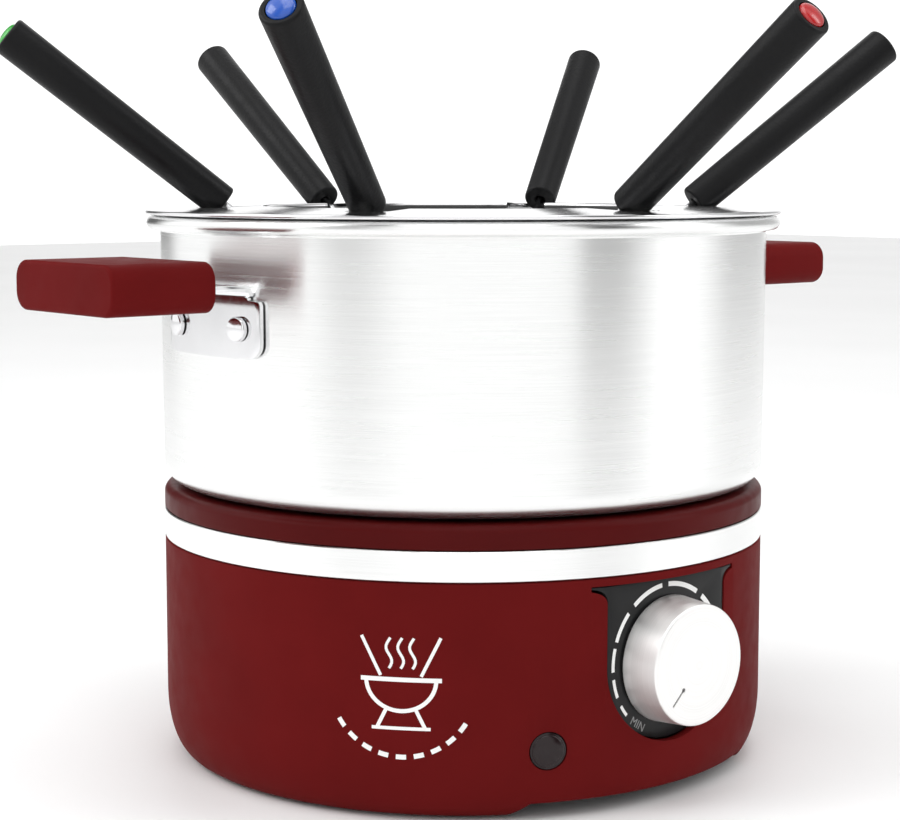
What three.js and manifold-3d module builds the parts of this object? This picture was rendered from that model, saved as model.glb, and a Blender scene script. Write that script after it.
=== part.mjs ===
// Electric fondue set: a heated base, a stainless pot with two side grips, a fork ring and six forks.
// Millimetres, +Z up. The origin is on the pot's axis, at the level of the table.
// The control knob faces -Y (the front) and the pot's grips point along +X and -X.

import * as THREE from 'three';
import { mergeVertices } from 'three/addons/utils/BufferGeometryUtils.js';
import Module from 'manifold-3d';

const wasm = await Module();
wasm.setup();

// ---------------------------------------------------------------- driving dimensions

const GAP = 0.3; // clearance between neighbouring pieces
const ROUND_STEPS = 40; // facets round the big circles
const SMALL_STEPS = 14; // facets round small circles
const TURN = 2 * Math.PI;

const base = {
  radius: 90,
  wall: 2.4,
  bottom: 0.8,
  cornerAcross: 7, // how far the bottom corner curls in
  cornerUp: 18, // how high the bottom corner starts
  bandBottom: 65.7,
  bandTop: 74,
  neckStep: 1.8, // how far the neck behind the band is set in
  archHalfWidth: 46,
  archTopHalfWidth: 41,
  archHeight: 4,
};

const collar = { shoulder: 78.6, top: 81, topRadius: 87.2, innerRadius: 78.6, wall: 1.8, skirtBottom: 70 };
const plate = { radius: 78, top: 81.6, thickness: 6, bossRadius: 8, bossBottom: 66, studRadius: 2.5, studBottom: 51 };
const element = { radius: 52, tube: 3.25, height: 71.6, coldEndBottom: 58, openHalfAngle: 20 };
const shield = { radius: 72, bottom: 64, sheet: 1, rimTop: 73.5 };
const bar = { halfLength: 84.5, halfWidth: 8, bottom: 58, sheet: 2 };
const cover = { radius: 80, bottom: 3, sheet: 2.4 };
const foot = { radius: 8, ringRadius: 68, height: 2.7, angles: [60, 120, 240, 300] };
const coverScrew = { ringRadius: 74, headRadius: 3.2, headBottom: 1.3, headTop: 2.7, shankRadius: 1.4, shankTop: 15 };
const post = { inner: 70, outer: 86, halfWidth: 4.5, bottom: 5.7, top: 22 };

const dial = {
  height: 40.5, // of the knob's axis above the table
  facet: 87.2, // distance of the bezel's flat face from the pot's axis
  halfWidth: 22.3,
  earHalfWidth: 27,
  earBottom: 58.5,
  earTip: 0.5, // height of the ear's blunt point
  top: 63,
  thickness: 4.7,
  nutPocketRadius: 8,
  nutPocketDepth: 3.2,
  bushRadius: 4.5,
};
const knob = { back: 88, face: 99.5, backRadius: 17.6, faceRadius: 16.7, wall: 1.2, shaftRadius: 3 };
const pointer = { angle: THREE.MathUtils.degToRad(225), inner: 8.4, outer: 13.8, width: 0.7, depth: 0.4 };
const thermostat = { back: 60, front: 79, halfWidth: 14, halfHeight: 12, shaftBack: 62 };
const lamp = { angle: THREE.MathUtils.degToRad(-25.6), height: 19.7, radius: 5, dome: 1.1 };
const gland = { height: 21, hole: 3.8, neck: 5.7, flange: 8 };

const pot = {
  bottom: 81.9,
  floor: 2.2,
  wall: 1,
  lowRadius: 89.8,
  topRadius: 90.2,
  corner: 6,
  beadRadius: 2.1,
  beadCentreRadius: 92.1,
  beadHeight: 158.4,
};
const bracket = { sheet: 1.5, halfWidth: 22, bottom: 123, tangTop: 142.9, tangHalfWidth: 18.5, tangEnd: 125.7, corner: 4 };
const rivet = { angle: THREE.MathUtils.degToRad(9.1), height: 131, head: 3.4, shank: 1.9 };
const grip = { inner: 105, outer: 136, halfWidth: 25.5, bottom: 136.25, top: 149.75, corner: 5, edge: 1 };

const ring = {
  outer: 94.5,
  inner: 60,
  sheet: 1.2,
  flangeTop: 162,
  innerTop: 163.1,
  lipBottom: 159,
  ribRadius: 88.6,
  ribBottom: 157.5,
  slotHalfWidth: 6.5,
  slotEnd: 80,
};

const fork = {
  count: 6,
  tilt: THREE.MathUtils.degToRad(38.2), // above the horizontal
  pivotRadius: 92, // where the fork's axis crosses its own slot's centre line
  pivotHeight: 179.9,
  missAxisBy: 4.8, // each fork passes the pot's axis at this distance, so that the shafts clear each other
  handleLow: -26.1, // along the fork from the pivot
  handleTop: 51.9,
  lowRadius: 5.15,
  topRadius: 5.75,
  edge: 0.9,
  capRadius: 3.8,
  capDepth: 2.4,
  capDome: 1.2,
  shaftRadius: 1.1,
  shaftDepth: 24, // how far the shaft is held in the handle
  tip: -151.6,
  tineLength: 22,
  tineWidth: 1.5,
  webLength: 7,
  headHalfWidth: 3.2,
  headThickness: 1.6,
};

// ---------------------------------------------------------------- materials

const finish = (color, roughness, metalness) => () => new THREE.MeshStandardMaterial({ color, roughness, metalness });
const burgundy = finish(0x6e1c1d, 0.5, 0);
const steel = finish(0xd2d3d4, 0.3, 1);
const aluminium = finish(0xdcdcdc, 0.35, 1);
const blackPlastic = finish(0x1b1b1c, 0.6, 0);
const darkEnamel = finish(0x161616, 0.45, 0.2);
const rubber = finish(0x141414, 0.9, 0);
const ceramic = finish(0xd9d2c0, 0.7, 0);
const brass = finish(0xb59a53, 0.4, 1);
const smokedLens = finish(0x2b2223, 0.15, 0);
const capColours = [0xd8262f, 0x7a3fa3, 0xe8781e, 0xf0c020, 0x3fc243, 0x1f6fe0].map((c) => finish(c, 0.3, 0));
const leadColours = { live: finish(0x6b3f26, 0.6, 0), neutral: finish(0x2a5fb0, 0.6, 0), earth: finish(0x6fa23a, 0.6, 0) };

// ---------------------------------------------------------------- geometry helpers

function toSolid(geometry) {
  const bare = geometry.clone();
  bare.deleteAttribute('normal');
  bare.deleteAttribute('uv');
  const merged = mergeVertices(bare);
  const vertProperties = new Float32Array(merged.attributes.position.array);
  const triVerts = new Uint32Array(merged.index.array);
  return new wasm.Manifold(new wasm.Mesh({ numProp: 3, vertProperties, triVerts }));
}

function toGeometry(solid) {
  const mesh = solid.getMesh();
  const geometry = new THREE.BufferGeometry();
  geometry.setAttribute('position', new THREE.BufferAttribute(mesh.vertProperties, 3));
  geometry.setIndex(new THREE.BufferAttribute(mesh.triVerts, 1));
  return geometry;
}

function combine(first, joins, cuts = []) {
  let solid = toSolid(first);
  for (const item of joins) solid = solid.add(toSolid(item));
  for (const item of cuts) solid = solid.subtract(toSolid(item));
  return toGeometry(solid);
}

function common(first, second) {
  return toGeometry(toSolid(first).intersect(toSolid(second)));
}

// A solid of revolution about Z from [radius, height] points. Open profiles start and end on the axis.
function turned(points, steps = ROUND_STEPS) {
  const onAxis = points[0][0] === 0;
  const loop = onAxis ? points : [...points, points[0]];
  return new THREE.LatheGeometry(loop.map(([r, z]) => new THREE.Vector2(r, z)), steps).rotateX(Math.PI / 2);
}

// Points of an elliptical arc, angles in degrees, both ends included.
function arc(centre, across, up, from, to, steps) {
  return Array.from({ length: steps + 1 }, (_, i) => {
    const angle = THREE.MathUtils.degToRad(from + ((to - from) * i) / steps);
    return [centre[0] + across * Math.cos(angle), centre[1] + up * Math.sin(angle)];
  });
}

function box(x0, x1, y0, y1, z0, z1) {
  return new THREE.BoxGeometry(x1 - x0, y1 - y0, z1 - z0).translate((x0 + x1) / 2, (y0 + y1) / 2, (z0 + z1) / 2);
}

function disc(radius, z0, z1, steps = SMALL_STEPS) {
  return turned([[0, z0], [radius, z0], [radius, z1], [0, z1]], steps);
}

// A shape drawn in X and Z, seen from the front, pushed from one distance before the axis to another.
function frontPrism(shape, back, front) {
  const geometry = new THREE.ExtrudeGeometry(shape, { depth: front - back, bevelEnabled: false, curveSegments: 8 });
  return geometry.translate(0, 0, back).rotateX(Math.PI / 2);
}

// Turns a piece that was made along +Z so that it lies along -Y at a given height.
function faceFront(geometry, height = dial.height) {
  return geometry.rotateX(Math.PI / 2).translate(0, 0, height);
}

// Turns a piece that was made along +Z to point outwards at an angle from the front.
function faceOut(geometry, angle, height) {
  return geometry.rotateX(Math.PI / 2).rotateZ(angle).translate(0, 0, height);
}

function roundedRectangle(halfWidth, low, high, radius) {
  const shape = new THREE.Shape();
  shape.moveTo(-halfWidth + radius, low);
  shape.lineTo(halfWidth - radius, low);
  shape.absarc(halfWidth - radius, low + radius, radius, -Math.PI / 2, 0);
  shape.lineTo(halfWidth, high - radius);
  shape.absarc(halfWidth - radius, high - radius, radius, 0, Math.PI / 2);
  shape.lineTo(-halfWidth + radius, high);
  shape.absarc(-halfWidth + radius, high - radius, radius, Math.PI / 2, Math.PI);
  shape.lineTo(-halfWidth, low + radius);
  shape.absarc(-halfWidth + radius, low + radius, radius, Math.PI, 1.5 * Math.PI);
  return shape;
}

function aroundFront(count, first, step) {
  return Array.from({ length: count }, (_, i) => THREE.MathUtils.degToRad(first + step * i));
}

const model = new THREE.Group();

function piece(name, geometry, material, parent = model) {
  const mesh = new THREE.Mesh(geometry, material());
  mesh.name = name;
  parent.add(mesh);
  return mesh;
}

// ---------------------------------------------------------------- base: housing, band and collar

const neckOuter = base.radius - base.neckStep;
const neckInner = neckOuter - base.wall;

// The bezel's outline: straight sides, a round bottom and two pointed ears at the top.
function bezelOutline(grow) {
  const half = dial.halfWidth + grow;
  const ear = dial.earHalfWidth + grow;
  const shape = new THREE.Shape();
  const tipLow = dial.top - dial.earTip - 2 * grow;
  const bend = dial.top - 1 - 3 * grow;
  shape.moveTo(half, dial.height);
  shape.lineTo(half, dial.earBottom - grow);
  shape.quadraticCurveTo(half, bend, ear, tipLow);
  shape.lineTo(ear, dial.top + grow);
  shape.lineTo(-ear, dial.top + grow);
  shape.lineTo(-ear, tipLow);
  shape.quadraticCurveTo(-half, bend, -half, dial.earBottom - grow);
  shape.lineTo(-half, dial.height);
  shape.absarc(0, dial.height, half, Math.PI, TURN);
  return shape;
}

function archCut() {
  const shape = new THREE.Shape();
  shape.moveTo(-base.archHalfWidth, base.bottom - 1);
  shape.lineTo(base.archHalfWidth, base.bottom - 1);
  shape.lineTo(base.archTopHalfWidth, base.bottom + base.archHeight);
  shape.lineTo(-base.archTopHalfWidth, base.bottom + base.archHeight);
  shape.closePath();
  const beyond = base.radius + 5;
  return frontPrism(shape, -beyond, beyond);
}

function screwPost(angle) {
  const body = box(-post.halfWidth, post.halfWidth, -post.outer, -post.inner, post.bottom, post.top);
  return body.rotateZ(angle);
}

function screwHole(angle) {
  const hole = disc(coverScrew.shankRadius + GAP, post.bottom - 1, coverScrew.shankTop + 1, 8);
  return hole.translate(0, -coverScrew.ringRadius, 0).rotateZ(angle);
}

const screwAngles = aroundFront(4, 45, 90);

function makeHousing() {
  const outerCorner = arc([base.radius - base.cornerAcross, base.bottom + base.cornerUp], base.cornerAcross, base.cornerUp, -90, 0, 4);
  const innerCorner = outerCorner.map(([r, z]) => [r - base.wall, z]).reverse();
  const shell = turned([
    ...outerCorner,
    [base.radius, base.bandBottom - GAP],
    [neckOuter, base.bandBottom - GAP],
    [neckOuter, base.bandTop - 0.1],
    [neckInner, base.bandTop - 0.1],
    [neckInner, base.bandBottom - 2.8],
    [base.radius - base.wall, base.bandBottom - 4.6],
    ...innerCorner,
  ]);
  const lugs = [0, Math.PI].map((turn) => box(76, 88, -8, 8, 50, bar.bottom - GAP).rotateZ(turn));
  const lampHole = faceOut(disc(lamp.radius + GAP, 80, 95), lamp.angle, lamp.height);
  const glandHole = faceOut(disc(gland.neck + GAP, 80, 95), Math.PI, gland.height);
  const bezelCut = frontPrism(bezelOutline(GAP), 78, 95);
  const posts = screwAngles.map(screwPost);
  return combine(shell, [...lugs, ...posts], [archCut(), lampHole, glandHole, bezelCut, ...screwAngles.map(screwHole)]);
}

function makeBand() {
  const inner = neckOuter + GAP;
  return turned([
    [inner, base.bandBottom],
    [base.radius, base.bandBottom],
    [base.radius, base.bandTop],
    [inner, base.bandTop],
  ]);
}

function makeCollar() {
  const low = base.bandTop + GAP;
  const skirtOuter = neckInner - GAP;
  const shoulder = arc([collar.topRadius, collar.shoulder], base.radius - collar.topRadius, collar.top - collar.shoulder, 0, 90, 3);
  const innerWall = collar.innerRadius + collar.wall;
  return turned([
    [skirtOuter, collar.skirtBottom],
    [skirtOuter, low],
    [base.radius, low],
    ...shoulder,
    [collar.innerRadius, collar.top],
    [collar.innerRadius, low],
    [innerWall, low],
    [innerWall, collar.top - 2],
    [skirtOuter - 2.2, collar.top - 2],
    [skirtOuter - 2.2, collar.skirtBottom],
  ]);
}

// ---------------------------------------------------------------- base: heating

function makePlate() {
  const low = plate.top - plate.thickness;
  return turned([
    [0, plate.studBottom],
    [plate.studRadius, plate.studBottom],
    [plate.studRadius, plate.bossBottom],
    [plate.bossRadius, plate.bossBottom],
    [plate.bossRadius, low],
    [plate.radius - 2, low],
    [plate.radius, low + 2],
    [plate.radius, plate.top - 0.6],
    [plate.radius - 0.6, plate.top],
    [0, plate.top],
  ]);
}

// The sheathed element: an open ring with both ends turned down at the back.
function makeElement() {
  const start = element.openHalfAngle;
  const steps = 16;
  const ringPoints = Array.from({ length: steps + 1 }, (_, i) => {
    const angle = THREE.MathUtils.degToRad(90 + start + ((360 - 2 * start) * i) / steps);
    return new THREE.Vector3(element.radius * Math.cos(angle), element.radius * Math.sin(angle), element.height);
  });
  const down = (p, dx) => [
    new THREE.Vector3(p.x + dx * 5, p.y + 1.5, element.height - 4.5),
    new THREE.Vector3(p.x + dx * 5.5, p.y + 1.6, element.coldEndBottom),
  ];
  const first = down(ringPoints[0], 1).reverse();
  const last = down(ringPoints[steps], -1);
  const path = new THREE.CatmullRomCurve3([...first, ...ringPoints, ...last]);
  const section = new THREE.Shape(
    Array.from({ length: 8 }, (_, i) => new THREE.Vector2(Math.cos((TURN * i) / 8), Math.sin((TURN * i) / 8)).multiplyScalar(element.tube)),
  );
  return new THREE.ExtrudeGeometry(section, { steps: 40, extrudePath: path, bevelEnabled: false });
}

function makeShield() {
  const dish = turned([
    [plate.bossRadius + 1, shield.bottom],
    [shield.radius, shield.bottom],
    [shield.radius, shield.rimTop],
    [shield.radius - shield.sheet, shield.rimTop],
    [shield.radius - shield.sheet, shield.bottom + shield.sheet],
    [plate.bossRadius + 1, shield.bottom + shield.sheet],
  ]);
  const endSlot = box(-22, 22, element.radius - 8, element.radius + 6, shield.bottom - 1, shield.bottom + 3);
  return combine(dish, [], [endSlot]);
}

function makeCrossBar() {
  const strap = box(-bar.halfLength, bar.halfLength, -bar.halfWidth, bar.halfWidth, bar.bottom, bar.bottom + bar.sheet);
  return combine(strap, [], [disc(plate.studRadius + GAP, bar.bottom - 1, bar.bottom + bar.sheet + 1, 16)]);
}

function makeNut(innerRadius, acrossFlats, low, high) {
  const corner = acrossFlats / Math.sqrt(3);
  const hexagon = turned([[0, low], [corner, low], [corner, high], [0, high]], 6);
  return combine(hexagon, [], [disc(innerRadius, low - 1, high + 1, 16)]);
}

// ---------------------------------------------------------------- base: underside

function makeCover() {
  const top = cover.bottom + cover.sheet;
  const holes = screwAngles.map((angle) =>
    disc(coverScrew.shankRadius + GAP, cover.bottom - 1, top + 1, 8).translate(0, -coverScrew.ringRadius, 0).rotateZ(angle),
  );
  const vents = aroundFront(8, 22.5, 45).map((angle) => box(-2, 2, -50, -26, cover.bottom - 1, top + 1).rotateZ(angle));
  return combine(disc(cover.radius, cover.bottom, top, ROUND_STEPS), [], [...holes, ...vents]);
}

function makeFoot() {
  return turned([
    [0, 0],
    [foot.radius - 0.8, 0],
    [foot.radius, 0.8],
    [foot.radius, foot.height],
    [0, foot.height],
  ], 12);
}

function makeCoverScrew() {
  return turned([
    [0, coverScrew.headBottom],
    [coverScrew.headRadius - 0.5, coverScrew.headBottom],
    [coverScrew.headRadius, coverScrew.headBottom + 0.6],
    [coverScrew.headRadius, coverScrew.headTop],
    [coverScrew.shankRadius, coverScrew.headTop],
    [coverScrew.shankRadius, coverScrew.shankTop],
    [0, coverScrew.shankTop],
  ], 8);
}

// ---------------------------------------------------------------- base: control

function makeBezel() {
  const back = dial.facet - dial.thickness;
  const block = frontPrism(bezelOutline(0), back, dial.facet);
  const flush = disc(base.radius - GAP, 10, 70, ROUND_STEPS);
  const pocket = faceFront(disc(dial.nutPocketRadius, dial.facet - dial.nutPocketDepth, dial.facet + 1));
  const bushHole = faceFront(disc(dial.bushRadius + GAP, back - 1, dial.facet));
  return combine(common(block, flush), [], [pocket, bushHole]);
}

function makeThermostat() {
  const face = dial.facet - dial.thickness - GAP;
  const halfWidth = thermostat.halfWidth;
  const halfHeight = thermostat.halfHeight;
  const mid = dial.height;
  const body = box(-halfWidth, halfWidth, -thermostat.front, -thermostat.back, mid - halfHeight, mid + halfHeight);
  const flange = box(-halfWidth - 4, halfWidth + 4, -face, 0.8 - thermostat.front, mid - halfHeight, mid + halfHeight);
  const bush = faceFront(disc(dial.bushRadius, thermostat.front - 1, dial.facet + 0.4));
  const tabs = [-1, 1].map((side) => box(side * 7 - 3, side * 7 + 3, -thermostat.back - 1, 9 - thermostat.back, mid + 4, mid + 4.8));
  const bore = faceFront(disc(knob.shaftRadius + GAP, thermostat.shaftBack - GAP, dial.facet + 1));
  return combine(body, [flange, bush, ...tabs], [bore]);
}

function makeShaft() {
  const rod = faceFront(disc(knob.shaftRadius, thermostat.shaftBack, knob.face - 4));
  const flat = box(-4, 4, -knob.face, -knob.back - 1, dial.height + 1.8, dial.height + 5);
  return combine(rod, [], [flat]);
}

// The knob's cap, with the pointer sunk into its face.
function makeKnobShell() {
  const cap = turned([
    [0, knob.face - knob.wall],
    [knob.faceRadius - knob.wall, knob.face - knob.wall],
    [knob.backRadius - knob.wall, knob.back],
    [knob.backRadius, knob.back],
    [knob.faceRadius, knob.face - 0.5],
    [knob.faceRadius - 0.5, knob.face],
    [0, knob.face],
  ], 28);
  const length = pointer.outer - pointer.inner;
  const groove = box(0, length, -pointer.width / 2, pointer.width / 2, knob.face - pointer.depth, knob.face + 1);
  return faceFront(combine(cap, [], [groove.translate(pointer.inner, 0, 0).rotateZ(pointer.angle)]));
}

// The knob's inner part: a web that fills the cap and a hub with a D-shaped hole for the shaft.
function makeKnobCore() {
  const front = knob.face - knob.wall - GAP;
  const outer = knob.faceRadius - knob.wall - GAP;
  const body = faceFront(turned([
    [0, knob.back + 1],
    [6, knob.back + 1],
    [6, knob.back + 6],
    [outer - 1.5, knob.back + 6],
    [outer - 1.5, knob.back + 1],
    [outer, knob.back + 1],
    [outer, front],
    [0, front],
  ], 20));
  const radius = knob.shaftRadius + GAP;
  const bore = faceFront(disc(radius, knob.back - 1, knob.face - 4 + GAP));
  const keepFlat = box(-5, 5, -knob.face, -knob.back + 2, dial.height - 5, dial.height + 1.8 + GAP);
  return combine(body, [], [common(bore, keepFlat)]);
}

function makeLens() {
  const dome = arc([0, base.radius], lamp.radius - 0.6, lamp.dome, 0, 90, 3);
  return faceOut(turned([
    [0, base.radius - 1.5],
    [lamp.radius - 1.2, base.radius - 1.5],
    [lamp.radius - 1.2, base.radius - 6],
    [lamp.radius + 1.5, base.radius - 6],
    [lamp.radius + 1.5, base.radius - 3.2],
    [lamp.radius, base.radius - 3.2],
    [lamp.radius, base.radius],
    ...dome.slice(0, -1),
    [0, base.radius + lamp.dome],
  ], SMALL_STEPS), lamp.angle, lamp.height);
}

function makeBulb() {
  return faceOut(disc(2.6, base.radius - 18, base.radius - 2.2, 12), lamp.angle, lamp.height);
}

function makeGland() {
  const out = base.radius + GAP;
  return faceOut(turned([
    [gland.hole, base.radius - 10],
    [gland.neck, base.radius - 10],
    [gland.neck, out],
    [gland.flange, out],
    [gland.flange, out + 1],
    [gland.flange - 1, out + 2],
    [gland.hole, out + 2],
  ], SMALL_STEPS), Math.PI, gland.height);
}

function makeTerminalBlock() {
  const block = box(14, 38, 42, 54, 7, 18);
  const screws = [18, 26, 34].map((x) => disc(2.4, 17, 19.4, 10).translate(x, 48, 0));
  return combine(block, screws);
}

function makeLead(points) {
  const path = new THREE.CatmullRomCurve3(points.map((p) => new THREE.Vector3(...p)));
  const section = new THREE.Shape(
    Array.from({ length: 6 }, (_, i) => new THREE.Vector2(Math.cos((TURN * i) / 6), Math.sin((TURN * i) / 6))),
  );
  return new THREE.ExtrudeGeometry(section, { steps: 12, extrudePath: path, bevelEnabled: false });
}

// ---------------------------------------------------------------- pot

function makePotShell() {
  const innerTop = pot.topRadius - pot.wall;
  const innerLow = pot.lowRadius - pot.wall;
  const floorTop = pot.bottom + pot.floor;
  const outerCorner = arc([pot.lowRadius - pot.corner, pot.bottom + pot.corner], pot.corner, pot.corner, -90, 0, 3);
  const inner = pot.corner - pot.wall;
  const innerCorner = arc([innerLow - inner, floorTop + inner], inner, inner, 0, -90, 3);
  const bead = arc([pot.beadCentreRadius, pot.beadHeight], pot.beadRadius, pot.beadRadius, -120, 100, 6);
  const shell = turned([
    [0, pot.bottom],
    ...outerCorner,
    [pot.topRadius, pot.beadHeight - 2.6],
    ...bead,
    [innerTop + 0.5, pot.beadHeight + 1.4],
    [innerTop, pot.beadHeight],
    ...innerCorner,
    [0, floorTop],
  ]);
  return combine(shell, [], rivetSpots().map(({ turn }) => faceOut(disc(rivet.shank + GAP, 85, 95, 8), turn, rivet.height)));
}

// The pot's grips point along +X and -X; each has two rivets.
function rivetSpots() {
  return [['left', -1], ['right', 1]].flatMap(([side, sign]) =>
    [-1, 1].map((end) => ({
      name: `rivet_${side}_${end < 0 ? 'front' : 'back'}`,
      turn: sign * (Math.PI / 2 + end * rivet.angle),
    })),
  );
}

// A steel sheet: a curved tab on the pot's wall, bent out into a flat tang that the grip is pressed onto.
function makeBracket(sign) {
  const inner = pot.topRadius + GAP;
  const outer = inner + bracket.sheet;
  const wrap = turned([
    [inner, bracket.bottom],
    [outer, bracket.bottom],
    [outer, bracket.tangTop],
    [inner, bracket.tangTop],
  ], 72);
  const outline = roundedRectangle(bracket.halfWidth, bracket.bottom, bracket.tangTop + 10, bracket.corner);
  const tab = common(wrap, frontPrism(outline, 70, 100).rotateZ(Math.PI / 2));
  const tangLow = bracket.tangTop - bracket.sheet;
  const tang = box(inner + 0.2, bracket.tangEnd, -bracket.tangHalfWidth, bracket.tangHalfWidth, tangLow, bracket.tangTop);
  const cornerCuts = [-1, 1].map((side) => {
    const middle = side * (bracket.tangHalfWidth + 3);
    return box(85, 100, middle - 2.4, middle + 2.4, tangLow - 1.2, bracket.tangTop + 1);
  });
  const holes = [-1, 1].map((end) => faceOut(disc(rivet.shank + GAP, 85, 95, 8), Math.PI / 2 + end * rivet.angle, rivet.height));
  return combine(tab, [tang], [...cornerCuts, ...holes]).rotateZ(sign > 0 ? 0 : Math.PI);
}

function makeGrip(sign) {
  const edge = grip.edge;
  const section = roundedRectangle(grip.halfWidth - edge, grip.bottom + edge, grip.top - edge, grip.corner - edge);
  const length = grip.outer - grip.inner - 2 * edge;
  const block = new THREE.ExtrudeGeometry(section, {
    depth: length,
    curveSegments: 3,
    bevelSize: edge,
    bevelThickness: edge,
    bevelSegments: 1,
  });
  block.translate(0, 0, grip.inner + edge).rotateX(Math.PI / 2).rotateZ(Math.PI / 2);
  const half = bracket.tangHalfWidth + GAP;
  const slot = box(grip.inner - 2, bracket.tangEnd + GAP, -half, half, bracket.tangTop - bracket.sheet - GAP, bracket.tangTop + GAP);
  return combine(block, [], [slot]).rotateZ(sign > 0 ? 0 : Math.PI);
}

function makeRivet(turn) {
  const outside = pot.topRadius + bracket.sheet + 2 * GAP;
  const inside = pot.lowRadius - pot.wall - GAP;
  return faceOut(turned([
    [0, inside - 1.2],
    [rivet.head - 0.6, inside - 1.2],
    [rivet.head - 0.2, inside - 0.6],
    [rivet.head - 0.2, inside],
    [rivet.shank, inside],
    [rivet.shank, outside],
    [rivet.head, outside],
    [rivet.head, outside + 1.1],
    [rivet.head - 0.7, outside + 1.7],
    [0, outside + 1.9],
  ], 10), turn, rivet.height);
}

// ---------------------------------------------------------------- fork ring and forks

function makeForkRing() {
  const flangeLow = ring.flangeTop - ring.sheet;
  const body = turned([
    [ring.ribRadius, flangeLow],
    [ring.outer, flangeLow],
    [ring.outer, ring.flangeTop],
    [ring.ribRadius + 1, ring.flangeTop],
    [ring.inner + 0.8, ring.innerTop],
    [ring.inner, ring.innerTop - 0.6],
    [ring.inner, ring.lipBottom],
    [ring.inner + ring.sheet, ring.lipBottom],
    [ring.inner + ring.sheet, ring.innerTop - ring.sheet],
    [ring.ribRadius - 2, flangeLow],
    [ring.ribRadius - 1.6, ring.ribBottom],
    [ring.ribRadius - 0.3, ring.ribBottom],
  ]);
  const roundCentre = ring.slotEnd - ring.slotHalfWidth;
  const slots = aroundFront(fork.count, 0, 60).map((angle) => {
    const outline = new THREE.Shape();
    outline.moveTo(-ring.slotHalfWidth, -ring.inner + 10);
    outline.lineTo(-ring.slotHalfWidth, -roundCentre);
    outline.absarc(0, -roundCentre, ring.slotHalfWidth, Math.PI, TURN);
    outline.lineTo(ring.slotHalfWidth, -ring.inner + 10);
    outline.closePath();
    const cut = new THREE.ExtrudeGeometry(outline, { depth: 10, bevelEnabled: false, curveSegments: 7 });
    return cut.translate(0, 0, ring.lipBottom - 2).rotateZ(angle);
  });
  return combine(body, [], slots);
}

function makeForkHandle() {
  const { handleLow: low, handleTop: top, edge } = fork;
  const shaftHole = fork.shaftRadius + GAP;
  const capHole = fork.capRadius + GAP;
  return turned([
    [0, low + fork.shaftDepth],
    [shaftHole, low + fork.shaftDepth],
    [shaftHole, low],
    [fork.lowRadius - edge, low],
    [fork.lowRadius, low + edge],
    [fork.topRadius, top - edge],
    [fork.topRadius - edge, top],
    [capHole, top],
    [capHole, top - fork.capDepth],
    [0, top - fork.capDepth],
  ], SMALL_STEPS);
}

function makeForkCap() {
  const low = fork.handleTop - fork.capDepth + GAP;
  const dome = arc([0, fork.handleTop], fork.capRadius, fork.capDome, 0, 90, 2);
  return turned([[0, low], [fork.capRadius, low], ...dome.slice(0, -1), [0, fork.handleTop + fork.capDome]], 10);
}

// The shaft and its flat two-tine head, one forged piece.
function makeForkTines() {
  const shaftTop = fork.handleLow + fork.shaftDepth - GAP;
  const headBase = fork.tip + fork.tineLength + fork.webLength;
  const shaft = disc(fork.shaftRadius, headBase - 3, shaftTop, 8);
  const crotch = fork.tip + fork.tineLength;
  const half = fork.headHalfWidth;
  const inside = half - fork.tineWidth;
  const head = new THREE.Shape();
  head.moveTo(-fork.shaftRadius, headBase);
  head.quadraticCurveTo(-half, headBase - 1, -half, crotch);
  head.lineTo(-half, fork.tip + 4);
  head.lineTo(-half + 0.4, fork.tip);
  head.lineTo(-inside, fork.tip + 4);
  head.lineTo(-inside, crotch);
  head.absarc(0, crotch, inside, Math.PI, 0, true);
  head.lineTo(inside, fork.tip + 4);
  head.lineTo(half - 0.4, fork.tip);
  head.lineTo(half, fork.tip + 4);
  head.lineTo(half, crotch);
  head.quadraticCurveTo(half, headBase - 1, fork.shaftRadius, headBase);
  head.closePath();
  const flat = new THREE.ExtrudeGeometry(head, { depth: fork.headThickness, bevelEnabled: false, curveSegments: 3 });
  flat.translate(0, 0, -fork.headThickness / 2).rotateX(Math.PI / 2);
  return combine(shaft, [flat]);
}

function addFork(number, angle, colour) {
  const station = new THREE.Group();
  station.rotation.z = angle;
  const axis = new THREE.Group();
  axis.position.set(0, -fork.pivotRadius, fork.pivotHeight);
  const swirl = Math.asin(fork.missAxisBy / fork.pivotRadius);
  axis.rotation.set(Math.PI / 2 - fork.tilt, 0, swirl, 'ZXY');
  station.add(axis);
  model.add(station);
  piece(`fork_${number}_handle`, makeForkHandle(), blackPlastic, axis);
  piece(`fork_${number}_cap`, makeForkCap(), colour, axis);
  piece(`fork_${number}_tines`, makeForkTines(), steel, axis);
}

// ---------------------------------------------------------------- assembly

piece('base_housing', makeHousing(), burgundy);
piece('trim_band', makeBand(), steel);
piece('top_collar', makeCollar(), burgundy);
piece('hot_plate', makePlate(), darkEnamel);
piece('heating_element', makeElement(), steel);
piece('heat_shield', makeShield(), aluminium);
piece('cross_bar', makeCrossBar(), steel);
piece('plate_nut', makeNut(plate.studRadius + GAP, 9, bar.bottom - 4.5, bar.bottom - GAP), steel);
piece('base_cover', makeCover(), blackPlastic);

foot.angles.forEach((degrees, i) => {
  const holder = new THREE.Group();
  holder.rotation.z = THREE.MathUtils.degToRad(degrees);
  model.add(holder);
  piece(`rubber_foot_${i + 1}`, makeFoot(), rubber, holder).position.y = -foot.ringRadius;
});

screwAngles.forEach((angle, i) => {
  const holder = new THREE.Group();
  holder.rotation.z = angle;
  model.add(holder);
  piece(`cover_screw_${i + 1}`, makeCoverScrew(), steel, holder).position.y = -coverScrew.ringRadius;
});

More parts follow.
